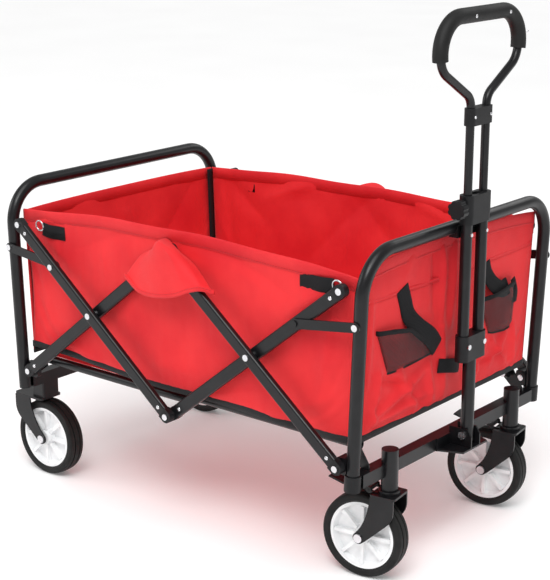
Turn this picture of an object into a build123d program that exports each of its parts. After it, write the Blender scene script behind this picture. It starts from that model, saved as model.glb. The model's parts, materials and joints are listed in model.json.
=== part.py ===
from build123d import *
import os
from math import acos, atan2, cos, degrees, hypot, radians, sin, tan

os.makedirs("parts", exist_ok=True)

# Folding camp wagon, opened out and standing on the floor.
# +X points to the handle end, +Y to the left side, +Z up, z = 0 on the floor.

# ---- hoops, legs and cross tubes -------------------------------------------
tube_d = 22.0  # round tube of the two end hoops
tube_wall = 1.5
hoop_z = 565.0  # centreline of the two top bars
hoop_bend = 70.0  # centreline radius of the hoops' upper corners
leg_y = 273.0  # centreline of each leg
leg_foot_z = 184.6  # lower end of each leg
lean = 2.3  # degrees that each hoop leans outward
lean_z = 190.0  # height at which front_leg_x is given
cross_size = 22.0  # square cross tube between two legs
cross_z = 195.0
cross_wall = 1.5
sleeve_wall = 2.5  # plastic sleeve round the foot of each front leg
sleeve_length = 27.0

# ---- scissor bars on each side ---------------------------------------------
pivot_x = 362.0  # from the middle of the wagon to each lower end pivot
front_leg_x = pivot_x + 15.0
pivot_z = 223.0  # height of the lower pivots
apex_z = 512.0  # height of the pivot under the fabric flap
bar_width = 22.0
bar_thick = 12.0
bar_wall = 1.3
free_end = 453.0  # from the bottom middle pivot to the rivet at a long bar's free end
folded_angle = 80.0  # degrees between a bar and the floor when the wagon is folded
link_width = 16.0
link_thick = 3.0
link_z = 455.0  # height of the link's pivot on the leg
plug_depth = 18.0  # how far a plug goes into the bar
rivet_r = 3.0
rivet_head_r = 5.5
rivet_head = 2.2
running = 0.08  # radial clearance of a pivot
face_gap = 0.3  # between two faces that slide on each other

# ---- floor frame -----------------------------------------------------------
rail_d = 16.0
rail_wall = 1.2
floor_pivot_x = pivot_x - 12.0
floor_pivot_z = 240.0
rear_rail_y = 244.0
front_rail_y = 226.0
floor_pin_r = 4.0
lug_thick = 3.0
board_thick = 3.0
board_half_width = 214.0
board_centre_gap = 58.0  # each board stops this far from the middle of the wagon
board_end_gap = 6.0  # from the floor pivot to the board
board_z = 250.5

# ---- tub fabric ------------------------------------------------------------
cloth_thick = 1.6
wall_y = 258.0  # centre of each side wall
wall_low_z = 250.4
wall_mid_z = 538.0  # top of a side wall at the middle
wall_end_z = 523.0  # top of a side wall at its ends
panel_half_width = 256.8
panel_inset = 12.5  # from the legs' centreline to the end panels
rear_panel_z = 523.0
front_panel_z = 547.0
cloth_floor_z = 248.4
pocket_depth = 30.0
pocket_width = 84.0
pocket_low_z = 345.0
pocket_high_z = 437.0
pocket_y = 148.0

# ---- wheels and casters ----------------------------------------------------
wheel_r = 73.0
tyre_width = 34.0
rim_r = wheel_r - 15.0
hub_width = 30.0
axle_r = 4.0
rear_wheel_x = -(pivot_x + 16.0)
rear_wheel_y = 219.0
fork_gap = 23.0  # from the wheel's middle to the inside of a fork arm
fork_thick = 3.0
stem_x = pivot_x + 26.0
stem_y = 187.0
caster_trail = 42.0
caster_rest = 8.0  # degrees that the casters are turned
rear_arm_from = 28.0  # the rear fork's arms, from the axle back to their upper ends
rear_arm_to = 68.0
crown_z = 150.0
crown_thick = 4.0
stem_r = 8.0
socket_r = 14.0
socket_low_z = 160.0
socket_high_z = 229.0
pedal_z = 157.0
pedal_half = 13.0
pedal_pin_r = 2.0

# ---- handle ----------------------------------------------------------------
handle_x = pivot_x + 52.0
handle_pivot_z = 206.0
handle_pin_r = 4.0
base_tube_d = 22.0
base_tube_top = 352.0
bracket_half_width = 55.0
cheek_y = 11.4  # inside face of each cheek
cheek_thick = 3.0
rod_y = 23.0  # the two telescoping rods
rod_r = 7.0
sleeve_r = 9.5
sleeve_low_z = 374.0
clamp_low_z = 340.0
clamp_high_z = 376.0
collar_low_z = 572.0
collar_high_z = 620.0
collar_half_x = 13.0
rod_low_z = 490.0
spacer_low_z = 732.0
spacer_high_z = 760.0
loop_neck_z = 775.0
loop_side_y = 110.0
loop_side_z = 826.0
loop_top_y = 122.0
loop_top_z = 906.0
loop_corner = 54.0
grip_r = 12.5
grip_low_z = 852.0
knob_r = 16.0

# ---- worked out from the sizes above ---------------------------------------
tube_r = tube_d / 2
slope = tan(radians(lean))
bar_length = hypot(pivot_x, apex_z - pivot_z)
rest_angle = degrees(atan2(apex_z - pivot_z, pivot_x))
fold_turn = folded_angle - rest_angle
travel = bar_length * (cos(radians(rest_angle)) - cos(radians(folded_angle)))
# the rear inner bar swings beside the rear leg, so the leg stands clear of the bar's round end
rear_leg_x = pivot_x + bar_width / 2 + 1.3 + tube_r - (pivot_z - lean_z) * slope
leg_out = leg_y + tube_r  # outer side of the legs
inner_bar_y = leg_out - bar_thick / 2
link_y = leg_out + face_gap + link_thick / 2
outer_bar_y = leg_out + link_thick + 2 * face_gap + bar_thick / 2
outer_in = outer_bar_y - bar_thick / 2
outer_out = outer_bar_y + bar_thick / 2
inner_in = inner_bar_y - bar_thick / 2
floor_turn = degrees(acos((floor_pivot_x - travel) / floor_pivot_x))


def leg_x(z, base):
    """Distance from the wagon's middle to a leg's centreline at height z."""
    return base + (z - lean_z) * slope


def link_reach(base):
    """Where along the long bar the link meets it, so that the link fits both opened and folded."""
    offset = leg_x(link_z, base) - pivot_x
    high = link_z - pivot_z
    start = (pivot_x + offset, high)
    end = (pivot_x - travel + offset, high)
    a = radians(rest_angle)
    b = radians(folded_angle)
    along = start[0] * cos(a) + high * sin(a) - end[0] * cos(b) - high * sin(b)
    return (start[0] ** 2 - end[0] ** 2) / (2 * along)


def link_turn(base, reach):
    """The link's length, its direction at rest and how far it turns in a fold, in degrees."""
    offset = leg_x(link_z, base) - pivot_x
    high = link_z - pivot_z
    a = radians(rest_angle)
    b = radians(folded_angle)
    dx = reach * cos(a) - pivot_x - offset
    dz = reach * sin(a) - high
    ex = reach * cos(b) - (pivot_x - travel) - offset
    ez = reach * sin(b) - high
    rest = degrees(atan2(dz, dx)) % 360
    return hypot(dx, dz), rest, rest - degrees(atan2(ez, ex)) % 360


front_reach = link_reach(front_leg_x)
rear_reach = link_reach(rear_leg_x)
front_link_length, front_link_angle, front_link_turn = link_turn(front_leg_x, front_reach)
rear_link_length, rear_link_angle, rear_link_turn = link_turn(rear_leg_x, rear_reach)

# moves everything along so that the wagon's overall box is centred on x = 0
lip_x = handle_x + 18
middle_shift = -(rear_wheel_x - wheel_r + lip_x) / 2

written = []


def save(part, name):
    """Puts one finished sub-part in the wagon's frame, labels it and writes it."""
    placed = part.moved(Location((middle_shift, 0, 0)))
    placed.label = name
    export_step(placed, f"parts/{name}.step")
    written.append(name)


def along(x, z, angle, y):
    """An upright plane at (x, y, z) whose X runs along a bar at an angle to the floor."""
    a = radians(angle)
    return Plane(origin=(x, y, z), x_dir=(cos(a), 0, sin(a)), z_dir=(0, -1, 0))


def across(x, z, angle, y, start):
    """The plane square to a bar, a distance along it."""
    a = radians(angle)
    at = (x + start * cos(a), y, z + start * sin(a))
    return Plane(origin=at, x_dir=(0, 1, 0), z_dir=(cos(a), 0, sin(a)))


def point_on(x, z, angle, distance):
    a = radians(angle)
    return x + distance * cos(a), z + distance * sin(a)


def rivet_profile(steps):
    """Half outline of a pin along +X from its steps, as (length, radius) pairs."""
    points = [(0, 0)]
    at = 0
    for length, radius in steps:
        if points[-1] != (at, radius):
            points.append((at, radius))
        at += length
        points.append((at, radius))
    points.append((at, 0))
    return points


def pin_plane(x, z, y):
    """Plane for a pin's outline: its X runs along +Y from (x, y, z)."""
    return Plane(origin=(x, y, z), x_dir=(0, 1, 0), z_dir=(1, 0, 0))


def add_pin(x, z, y_start, steps):
    """Turns one stepped pin along +Y into the part being built."""
    with BuildSketch(pin_plane(x, z, y_start)) as half:
        with BuildLine():
            Polyline(*rivet_profile(steps), close=True)
        make_face()
    revolve(profiles=half.sketch, axis=Axis((x, y_start, z), (0, 1, 0)))


# ---- end hoops -------------------------------------------------------------
def hoop_plane(base, end):
    lean_a = radians(lean)
    return Plane(
        origin=(end * base, 0, lean_z),
        x_dir=(0, 1, 0),
        z_dir=(cos(lean_a), 0, -end * sin(lean_a)),
    )


def make_hoop(name, base, end):
    """Round tube bent into an upside-down U: two legs and the top bar."""
    low = (leg_foot_z - lean_z) / cos(radians(lean))
    high = (hoop_z - lean_z) / cos(radians(lean))
    with BuildPart() as hoop:
        with BuildLine(hoop_plane(base, end)) as path:
            FilletPolyline((-leg_y, low), (-leg_y, high), (leg_y, high), (leg_y, low), radius=hoop_bend)
        with BuildSketch(Plane(origin=path.line @ 0, z_dir=path.line % 0)):
            Circle(tube_r)
            Circle(tube_r - tube_wall, mode=Mode.SUBTRACT)
        sweep()
    save(hoop.part, name)


make_hoop("rear_hoop", rear_leg_x, -1)
make_hoop("front_hoop", front_leg_x, 1)


def square_tube():
    """Cross-section of a square tube."""
    Rectangle(cross_size, cross_size)
    Rectangle(cross_size - 2 * cross_wall, cross_size - 2 * cross_wall, mode=Mode.SUBTRACT)


def add_lug(end, face_x, y_in):
    """Plate that stands on a cross tube and carries one floor rail's pin, on the right side."""
    top = cross_z + cross_size / 2
    nose = floor_pivot_x - 9
    points = [
        (end * (face_x + 16), top),
        (end * (face_x + 16), top + 8),
        (end * (floor_pivot_x + 10), floor_pivot_z + rail_d / 2),
        (end * nose, floor_pivot_z + rail_d / 2),
        (end * nose, floor_pivot_z - 10),
        (end * (face_x + 1), top),
    ]
    with BuildSketch(Plane.XZ.offset(y_in)) as plate:
        with BuildLine():
            Polyline(*points, close=True)
        make_face()
        with Locations((end * floor_pivot_x, floor_pivot_z)):
            Circle(floor_pin_r + 0.02, mode=Mode.SUBTRACT)
    extrude(to_extrude=plate.sketch, amount=lug_thick)


# ---- rear cross tube with its two lugs -------------------------------------
rear_cross_x = -leg_x(cross_z, rear_leg_x)
rear_lug_y = rear_rail_y + rail_d / 2 + face_gap
with BuildPart() as rear_cross:
    with BuildSketch(Plane.XZ.offset(-(leg_y - tube_r))):
        with Locations((rear_cross_x, cross_z)):
            square_tube()
    extrude(amount=2 * (leg_y - tube_r))
    add_lug(-1, -rear_cross_x - cross_size / 2, rear_lug_y)
    add_lug(-1, -rear_cross_x - cross_size / 2, -rear_lug_y - lug_thick)
save(rear_cross.part, "rear_cross_tube")

# ---- front cross tube with the caster sockets welded through it ------------
front_cross_x = leg_x(cross_z, front_leg_x)
front_lug_y = front_rail_y + rail_d / 2 + face_gap
front_cross_half = leg_y - tube_r - sleeve_wall
with BuildPart() as front_cross:
    with BuildSketch(Plane.XZ.offset(-front_cross_half)):
        with Locations((front_cross_x, cross_z)):
            square_tube()
    extrude(amount=2 * front_cross_half)
    add_lug(1, front_cross_x - cross_size / 2, front_lug_y)
    add_lug(1, front_cross_x - cross_size / 2, -front_lug_y - lug_thick)
    with BuildSketch(Plane.XY.offset(socket_low_z)):
        with Locations((stem_x, stem_y), (stem_x, -stem_y)):
            Circle(socket_r)
    extrude(amount=socket_high_z - socket_low_z)
    with BuildSketch(Plane.XY.offset(socket_low_z)):
        with Locations((stem_x, stem_y), (stem_x, -stem_y)):
            Circle(stem_r + running)
    extrude(amount=socket_high_z - socket_low_z - 4, mode=Mode.SUBTRACT)
save(front_cross.part, "front_cross_tube")

# ---- plastic sleeves round the feet of the front legs ----------------------
foot_plane = Plane(
    origin=(leg_x(leg_foot_z - 3, front_leg_x), -leg_y, leg_foot_z - 3),
    z_dir=(sin(radians(lean)), 0, cos(radians(lean))),
)
with BuildPart() as feet:
    with BuildSketch(foot_plane):
        Circle(tube_r + sleeve_wall)
    extrude(amount=sleeve_length)
    with BuildSketch(foot_plane.offset(3)):
        Circle(tube_r)
    extrude(amount=sleeve_length, mode=Mode.SUBTRACT)
    mirror(about=Plane.XZ)
save(feet.part, "front_leg_sleeves")


# ---- brackets that carry the lower bar pivots ------------------------------
def leg_cylinder(base, end):
    """Cuts the right leg's round shape out of the part being built."""
    z_low = pivot_z - 40
    start = Plane(
        origin=(end * leg_x(z_low, base), -leg_y, z_low),
        z_dir=(end * sin(radians(lean)), 0, cos(radians(lean))),
    )
    with BuildSketch(start) as leg_face:
        Circle(tube_r)
    extrude(to_extrude=leg_face.sketch, amount=80, mode=Mode.SUBTRACT)


with BuildPart() as rear_brackets:
    with BuildSketch(Plane.XZ.offset(leg_y - tube_r)):
        with Locations((-(pivot_x + 3), pivot_z)):
            RectangleRounded(30, 28, 5)
        with Locations((-pivot_x, pivot_z)):
            Circle(rivet_r + 0.02, mode=Mode.SUBTRACT)
    extrude(amount=inner_in - face_gap - (leg_y - tube_r))
    leg_cylinder(rear_leg_x, -1)
    mirror(about=Plane.XZ)
save(rear_brackets.part, "rear_bar_brackets")

with BuildPart() as front_brackets:
    with BuildSketch(Plane.XZ.offset(leg_y - tube_r)):
        with Locations((pivot_x, pivot_z)):
            RectangleRounded(20, 28, 5)
        with Locations((pivot_x, pivot_z)):
            Circle(rivet_r + 0.02, mode=Mode.SUBTRACT)
    extrude(amount=tube_d)
    leg_cylinder(front_leg_x, 1)
    mirror(about=Plane.XZ)
save(front_brackets.part, "front_bar_brackets")


# ---- scissor bars ----------------------------------------------------------
def make_bars(name, x, z, angle, length, y, holes):
    """A pair of flat tubes with holes, and the pair's plugs, one at each end of a bar."""
    start = bar_width / 2
    inner_w = bar_width - 2 * bar_wall
    inner_t = bar_thick - 2 * bar_wall
    with BuildPart() as bars:
        with BuildSketch(across(x, z, angle, -y, start)):
            RectangleRounded(bar_thick, bar_width, 4)
            RectangleRounded(inner_t, inner_w, 4 - bar_wall, mode=Mode.SUBTRACT)
        extrude(amount=length - 2 * start)
        with BuildSketch(along(x, z, angle, -y + bar_thick)):
            for distance, radius in holes + [(plug_depth + 4, 2.0), (length - plug_depth - 4, 2.0)]:
                with Locations((distance, 0)):
                    Circle(radius)
        extrude(amount=2 * bar_thick, mode=Mode.SUBTRACT)
        mirror(about=Plane.XZ)
    save(bars.part, name + "_bars")
    with BuildPart() as plugs:
        for at, turn in ((0, angle), (length, angle + 180)):
            px, pz = point_on(x, z, angle, at)
            with BuildSketch(along(px, pz, turn, -y + bar_thick / 2)):
                with BuildLine():
                    Line((start, -start), (0, -start))
                    ThreePointArc((0, -start), (-start, 0), (0, start))
                    Line((0, start), (start, start))
                    Line((start, start), (start, -start))
                make_face()
            extrude(amount=bar_thick)
            with BuildSketch(across(px, pz, turn, -y, start)):
                RectangleRounded(inner_t - 0.2, inner_w - 0.2, 2.4)
            extrude(amount=plug_depth)
        with BuildSketch(along(x, z, angle, -y + bar_thick)):
            for distance, radius in holes + [(plug_depth + 4, 2.0), (length - plug_depth - 4, 2.0)]:
                with Locations((distance, 0)):
                    Circle(radius)
        extrude(amount=2 * bar_thick, mode=Mode.SUBTRACT)
        mirror(about=Plane.XZ)
    save(plugs.part, name + "_plugs")


fixed_hole = rivet_r + 0.02
turning_hole = rivet_r + running
middle = bar_length / 2
upward = rest_angle
back_up = 180 - rest_angle
make_bars("rear_inner", -pivot_x, pivot_z, upward, bar_length, inner_bar_y,
          [(0, turning_hole), (middle, turning_hole), (bar_length, turning_hole)])
make_bars("rear_outer", 0, pivot_z, back_up, free_end, outer_bar_y,
          [(0, fixed_hole), (middle, fixed_hole), (rear_reach, fixed_hole), (free_end, fixed_hole)])
make_bars("front_inner", 0, pivot_z, upward, free_end, inner_bar_y,
          [(0, turning_hole), (middle, turning_hole), (free_end, fixed_hole)])
make_bars("front_outer", pivot_x, pivot_z, back_up, bar_length, outer_bar_y,
          [(0, turning_hole), (middle, fixed_hole), (bar_length, fixed_hole)])

# ---- rivets ----------------------------------------------------------------
# Each pin is drawn on the right side, from its inner end outward to its head at -Y.
rear_mid = point_on(-pivot_x, pivot_z, upward, middle)
front_mid = point_on(pivot_x, pivot_z, back_up, middle)
rear_free = point_on(0, pivot_z, back_up, free_end)
front_free = point_on(0, pivot_z, upward, free_end)
rear_link_end = point_on(0, pivot_z, back_up, rear_reach)
front_link_end = point_on(0, pivot_z, upward, front_reach)
tail = 1.6  # height of a rivet's inner head
through_both = [
    (rivet_head, rivet_head_r),
    (bar_thick, rivet_r),
    (outer_in - leg_out - face_gap, rivet_head_r + 1.5),
    (bar_thick + 2 * face_gap, rivet_r),
    (tail, rivet_head_r),
]
through_outer = [(rivet_head, rivet_head_r), (bar_thick, rivet_r)]

with BuildPart() as rear_outer_rivets:
    for x, z in (rear_mid, (0, pivot_z)):
        add_pin(x, z, -outer_out - rivet_head, through_both)
    for x, z in (rear_link_end, rear_free):
        add_pin(x, z, -outer_out - rivet_head, through_outer)
    mirror(about=Plane.XZ)
save(rear_outer_rivets.part, "rear_outer_rivets")

with BuildPart() as front_outer_rivets:
    for x, z in (front_mid, (0, apex_z)):
        add_pin(x, z, -outer_out - rivet_head, through_both)
    mirror(about=Plane.XZ)
save(front_outer_rivets.part, "front_outer_rivets")

with BuildPart() as front_inner_rivets:
    add_pin(*front_free, -leg_out - rivet_head, [(rivet_head, rivet_head_r), (bar_thick, rivet_r)])
    mirror(about=Plane.XZ)
save(front_inner_rivets.part, "front_inner_rivets")

link_pin = [
    (rivet_head, rivet_head_r),
    (link_thick + 2 * face_gap, rivet_r),
]
with BuildPart() as rear_rivets:
    # lower bar pivots, held in the brackets
    add_pin(-pivot_x, pivot_z, -leg_out - face_gap - rivet_head,
            [(rivet_head, rivet_head_r), (bar_thick + 2 * face_gap, rivet_r),
             (inner_in - face_gap - (leg_y - tube_r), rivet_r), (tail, rivet_head_r)])
    # link pivots on the legs
    add_pin(-leg_x(link_z, rear_leg_x), link_z, -leg_out - link_thick - 2 * face_gap - rivet_head, link_pin)
    # floor rail pins
    add_pin(-floor_pivot_x, floor_pivot_z, -rear_lug_y - lug_thick - 1,
            [(1, floor_pin_r + 1.5), (lug_thick + face_gap + rail_d + face_gap, floor_pin_r), (2, floor_pin_r + 2)])
    mirror(about=Plane.XZ)
save(rear_rivets.part, "rear_frame_rivets")

with BuildPart() as front_rivets:
    add_pin(pivot_x, pivot_z, -outer_out - face_gap - rivet_head,
            [(rivet_head, rivet_head_r), (bar_thick + 2 * face_gap, rivet_r),
             (outer_in - leg_out - face_gap, rivet_head_r + 1.5), (tube_d, rivet_r), (tail, rivet_head_r)])
    add_pin(leg_x(link_z, front_leg_x), link_z, -leg_out - link_thick - 2 * face_gap - rivet_head, link_pin)
    add_pin(floor_pivot_x, floor_pivot_z, -front_lug_y - lug_thick - 1,
            [(1, floor_pin_r + 1.5), (lug_thick + face_gap + rail_d + face_gap, floor_pin_r), (2, floor_pin_r + 2)])
    mirror(about=Plane.XZ)
save(front_rivets.part, "front_frame_rivets")


# ---- short links between the legs and the long bars ------------------------
def make_links(name, x, angle, length, end_rivet):
    """A pair of flat links from the legs' pivots to the long bars."""
    end_x, end_z = point_on(x, link_z, angle, length)
    with BuildPart() as links:
        with BuildSketch(along(x, link_z, angle, -link_y + link_thick / 2)):
            with Locations((length / 2, 0)):
                SlotCenterToCenter(length, link_width)
            Circle(turning_hole, mode=Mode.SUBTRACT)
            with Locations((length, 0)):
                Circle(fixed_hole, mode=Mode.SUBTRACT)
        extrude(amount=link_thick)
        if end_rivet:
            add_pin(end_x, end_z, -link_y - link_thick / 2 - rivet_head,
                    [(rivet_head, rivet_head_r), (link_thick, rivet_r)])
        mirror(about=Plane.XZ)
    save(links.part, name)


make_links("rear_links", -leg_x(link_z, rear_leg_x), 180 - rear_link_angle, rear_link_length, False)
make_links("front_links", leg_x(link_z, front_leg_x), front_link_angle, front_link_length, True)


# ---- floor frames and boards -----------------------------------------------
def make_floor(name, end, rail_y):
    """Two rails and the bar that joins them, and the board that lies on them."""
    rail_end = 8.0
    length = floor_pivot_x + 2 * rail_end
    cross_at = floor_pivot_x / 2
    with BuildPart() as frame:
        with BuildSketch(Plane.YZ.offset(-end * rail_end)):
            with Locations((-rail_y, floor_pivot_z), (rail_y, floor_pivot_z)):
                Circle(rail_d / 2)
        extrude(amount=end * length)
        with BuildSketch(Plane.XZ.offset(-rail_y)):
            with Locations((end * cross_at, floor_pivot_z)):
                Circle(rail_d / 2 - 1)
        extrude(amount=2 * rail_y)
        with BuildSketch(Plane.YZ.offset(-end * rail_end)):
            with Locations((-rail_y, floor_pivot_z), (rail_y, floor_pivot_z)):
                Circle(rail_d / 2 - rail_wall)
        extrude(amount=end * length, mode=Mode.SUBTRACT)
        with BuildSketch(Plane.XZ.offset(-rail_y)):
            with Locations((end * cross_at, floor_pivot_z)):
                Circle(rail_d / 2 - 1 - rail_wall)
        extrude(amount=2 * rail_y, mode=Mode.SUBTRACT)
        with BuildSketch(Plane.XZ.offset(-rail_y - rail_d)):
            with Locations((end * floor_pivot_x, floor_pivot_z)):
                Circle(floor_pin_r + running)
        extrude(amount=2 * (rail_y + rail_d), mode=Mode.SUBTRACT)
    save(frame.part, name + "_floor_frame")
    near = floor_pivot_x - board_end_gap
    with BuildPart() as board:
        with BuildSketch(Plane.XY.offset(board_z)):
            with Locations((end * (near + board_centre_gap) / 2, 0)):
                RectangleRounded(near - board_centre_gap, 2 * board_half_width, 12)
        extrude(amount=board_thick)
    save(board.part, name + "_floor_board")


make_floor("rear", -1, rear_rail_y)
make_floor("front", 1, front_rail_y)

# ---- tub fabric, as plain sheets -------------------------------------------
rear_panel_base = rear_leg_x - panel_inset
front_panel_base = front_leg_x - panel_inset


def panel_x(base, z):
    return base + (z - lean_z) * slope


for side, name in ((1, "tub_side_left"), (-1, "tub_side_right")):
    past = 3.0
    with BuildPart() as wall:
        with BuildSketch(Plane.XZ.offset(-side * wall_y - cloth_thick / 2)):
            with BuildLine():
                low_rear = (-panel_x(rear_panel_base, wall_low_z) - past, wall_low_z)
                low_front = (panel_x(front_panel_base, wall_low_z) + past, wall_low_z)
                high_front = (panel_x(front_panel_base, wall_end_z) + past, wall_end_z)
                high_rear = (-panel_x(rear_panel_base, wall_end_z) - past, wall_end_z)
                Polyline(high_rear, low_rear, low_front, high_front)
                ThreePointArc(high_front, (0, wall_mid_z), high_rear)
            make_face()
        extrude(amount=cloth_thick)
    save(wall.part, name)


def make_panel(name, base, end, top_z):
    lean_a = radians(lean)
    flat = Plane(
        origin=(end * base, 0, lean_z),
        x_dir=(0, 1, 0),
        z_dir=(cos(lean_a), 0, -end * sin(lean_a)),
    )
    low = (wall_low_z - lean_z) / cos(lean_a)
    high = (top_z - lean_z) / cos(lean_a)
    with BuildPart() as panel:
        with BuildSketch(flat.offset(-cloth_thick / 2)):
            with Locations((0, (low + high) / 2)):
                RectangleRounded(2 * panel_half_width, high - low, 10)
        extrude(amount=cloth_thick)
    save(panel.part, name)


make_panel("rear_panel", rear_panel_base, -1, rear_panel_z)
make_panel("front_panel", front_panel_base, 1, front_panel_z)

with BuildPart() as cloth_floor:
    length = panel_x(rear_panel_base, wall_low_z) + panel_x(front_panel_base, wall_low_z) + cloth_thick
    middle_x = (panel_x(front_panel_base, wall_low_z) - panel_x(rear_panel_base, wall_low_z)) / 2
    with BuildSketch(Plane.XY.offset(cloth_floor_z)):
        with Locations((middle_x, 0)):
            Rectangle(length, 2 * wall_y + cloth_thick)
    extrude(amount=cloth_thick)
save(cloth_floor.part, "tub_floor")

# two mesh cup pockets, open at the top, hung on the front panel
pocket_x = panel_x(front_panel_base, pocket_high_z) + cloth_thick
pocket_wall = 1.6
with BuildPart() as pockets:
    for side in (-1, 1):
        outer = Plane.XY.offset(pocket_low_z)
        with BuildSketch(outer):
            with Locations((pocket_x + pocket_depth / 2, side * pocket_y)):
                RectangleRounded(pocket_depth, pocket_width, 12)
        extrude(amount=pocket_high_z - pocket_low_z)
        with BuildSketch(outer.offset(pocket_wall)):
            with Locations((pocket_x + pocket_depth / 2, side * pocket_y)):
                RectangleRounded(pocket_depth - 2 * pocket_wall, pocket_width - 2 * pocket_wall, 12 - pocket_wall)
        extrude(amount=pocket_high_z - pocket_low_z, mode=Mode.SUBTRACT)
save(pockets.part, "cup_pockets")


# ---- wheels ----------------------------------------------------------------
def make_wheel(name, plane):
    """Tyre and hub about the plane's normal; the plane lies in the wheel's middle."""
    axis = Axis(plane.origin, plane.z_dir)
    half = tyre_width / 2
    radial = Plane(origin=plane.origin, x_dir=plane.z_dir, z_dir=plane.y_dir.reverse())
    with BuildPart() as tyre:
        with BuildSketch(radial):
            with BuildLine():
                Line((-half + 3, rim_r), (half - 3, rim_r))
                Line((half - 3, rim_r), (half, rim_r + 4))
                Line((half, rim_r + 4), (half, wheel_r - 5))
                ThreePointArc((half, wheel_r - 5), (half - 1.8, wheel_r - 1.9), (half - 5, wheel_r - 0.8))
                ThreePointArc((half - 5, wheel_r - 0.8), (0, wheel_r), (-half + 5, wheel_r - 0.8))
                ThreePointArc((-half + 5, wheel_r - 0.8), (-half + 1.8, wheel_r - 1.9), (-half, wheel_r - 5))
                Line((-half, wheel_r - 5), (-half, rim_r + 4))
                Line((-half, rim_r + 4), (-half + 3, rim_r))
            make_face()
            groove_z = wheel_r - 0.4
            with Locations((-6, groove_z), (6, groove_z)):
                Rectangle(2.4, 3.6, mode=Mode.SUBTRACT)
        revolve(axis=axis)
    save(tyre.part, name + "_tyre")
    hub_half = hub_width / 2
    spokes = 8
    with BuildPart() as hub:
        with BuildSketch(radial):
            with BuildLine():
                Polyline(
                    (-hub_half - 4, axle_r + running),
                    (hub_half + 4, axle_r + running),
                    (hub_half + 4, 13),
                    (4, 16),
                    (4, rim_r - 9),
                    (hub_half - 1, rim_r - 5),
                    (hub_half - 1, rim_r),
                    (-hub_half + 1, rim_r),
                    (-hub_half + 1, rim_r - 5),
                    (-4, rim_r - 9),
                    (-4, 16),
                    (-hub_half - 4, 13),
                    close=True,
                )
            make_face()
        revolve(axis=axis)
        with BuildSketch(plane.offset(-hub_half + 2)):
            with PolarLocations((rim_r + 8) / 2, spokes):
                Rectangle(rim_r - 22, 6)
        extrude(amount=hub_width - 4)
    save(hub.part, name + "_hub")


def add_axle(plane, reach):
    """Bolt along the plane's normal with a domed head, a thread end and a nut."""
    with BuildSketch(plane.offset(-reach)) as shank:
        Circle(axle_r)
    extrude(to_extrude=shank.sketch, amount=2 * reach)
    with BuildSketch(plane.offset(reach)) as head:
        Circle(axle_r + 3.5)
    extrude(to_extrude=head.sketch, amount=3)
    with BuildSketch(plane.offset(-reach - 3)) as nut:
        RegularPolygon(axle_r + 3.5, 6)
    extrude(to_extrude=nut.sketch, amount=3)


def add_fork_arms(plane, top_z, top_from, top_to, way):
    """Two plate arms from the crown down to the axle, leaning forward (way 1) or back (way -1)."""
    eye = 10.0
    knee = top_z - 18
    with BuildSketch(plane) as arm:
        with BuildLine():
            Line((way * top_from, top_z), (way * top_to, top_z))
            Line((way * top_to, top_z), (way * top_to, knee))
            Spline((way * top_to, knee), (way * (top_to * 0.62 + 4), knee * 0.42), (way * eye * 0.6, -eye * 0.8),
                   tangents=[(0, -1), (-0.8 * way, -0.6)])
            ThreePointArc((way * eye * 0.6, -eye * 0.8), (-way * eye * 0.8, -eye * 0.6), (-way * eye * 0.7, eye * 0.72))
            Spline((-way * eye * 0.7, eye * 0.72), (way * top_from, top_z), tangents=[(0.7 * way, 0.7), (0.1 * way, 1)])
        make_face()
        Circle(axle_r + 0.02, mode=Mode.SUBTRACT)
    for side in (-1, 1):
        near = side * fork_gap
        extrude(to_extrude=arm.sketch.moved(Location(plane.z_dir * near)), amount=side * fork_thick)


# rear wheels in fixed forks that stand out behind the legs
fork_top_z = cross_z - cross_size / 2
rear_wheels = {}
for side, word in ((1, "left"), (-1, "right")):
    rear_wheels[word] = Plane(
        origin=(rear_wheel_x, side * rear_wheel_y, wheel_r), x_dir=(1, 0, 0), z_dir=(0, -1, 0)
    )
    make_wheel("rear_" + word, rear_wheels[word])

with BuildPart() as rear_forks:
    add_fork_arms(rear_wheels["right"], crown_z - wheel_r, rear_arm_from, rear_arm_to, -1)
    crown_rear = rear_wheel_x - rear_arm_to - 2
    crown_front = rear_cross_x + cross_size / 2
    with BuildSketch(Plane.XY.offset(crown_z)):
        with Locations(((crown_rear + crown_front) / 2, -rear_wheel_y)):
            RectangleRounded(crown_front - crown_rear, 2 * (fork_gap + fork_thick), 6)
    extrude(amount=crown_thick)
    riser = 30.0
    with BuildSketch(Plane.XY.offset(crown_z)):
        with Locations((crown_front - riser / 2, -rear_wheel_y)):
            RectangleRounded(riser, 40, 3)
    extrude(amount=fork_top_z - crown_z)
    mirror(about=Plane.XZ)
save(rear_forks.part, "rear_forks")

with BuildPart() as rear_axles:
    add_axle(rear_wheels["right"], fork_gap + fork_thick)
    mirror(about=Plane.XZ)
save(rear_axles.part, "rear_axles")

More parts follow.
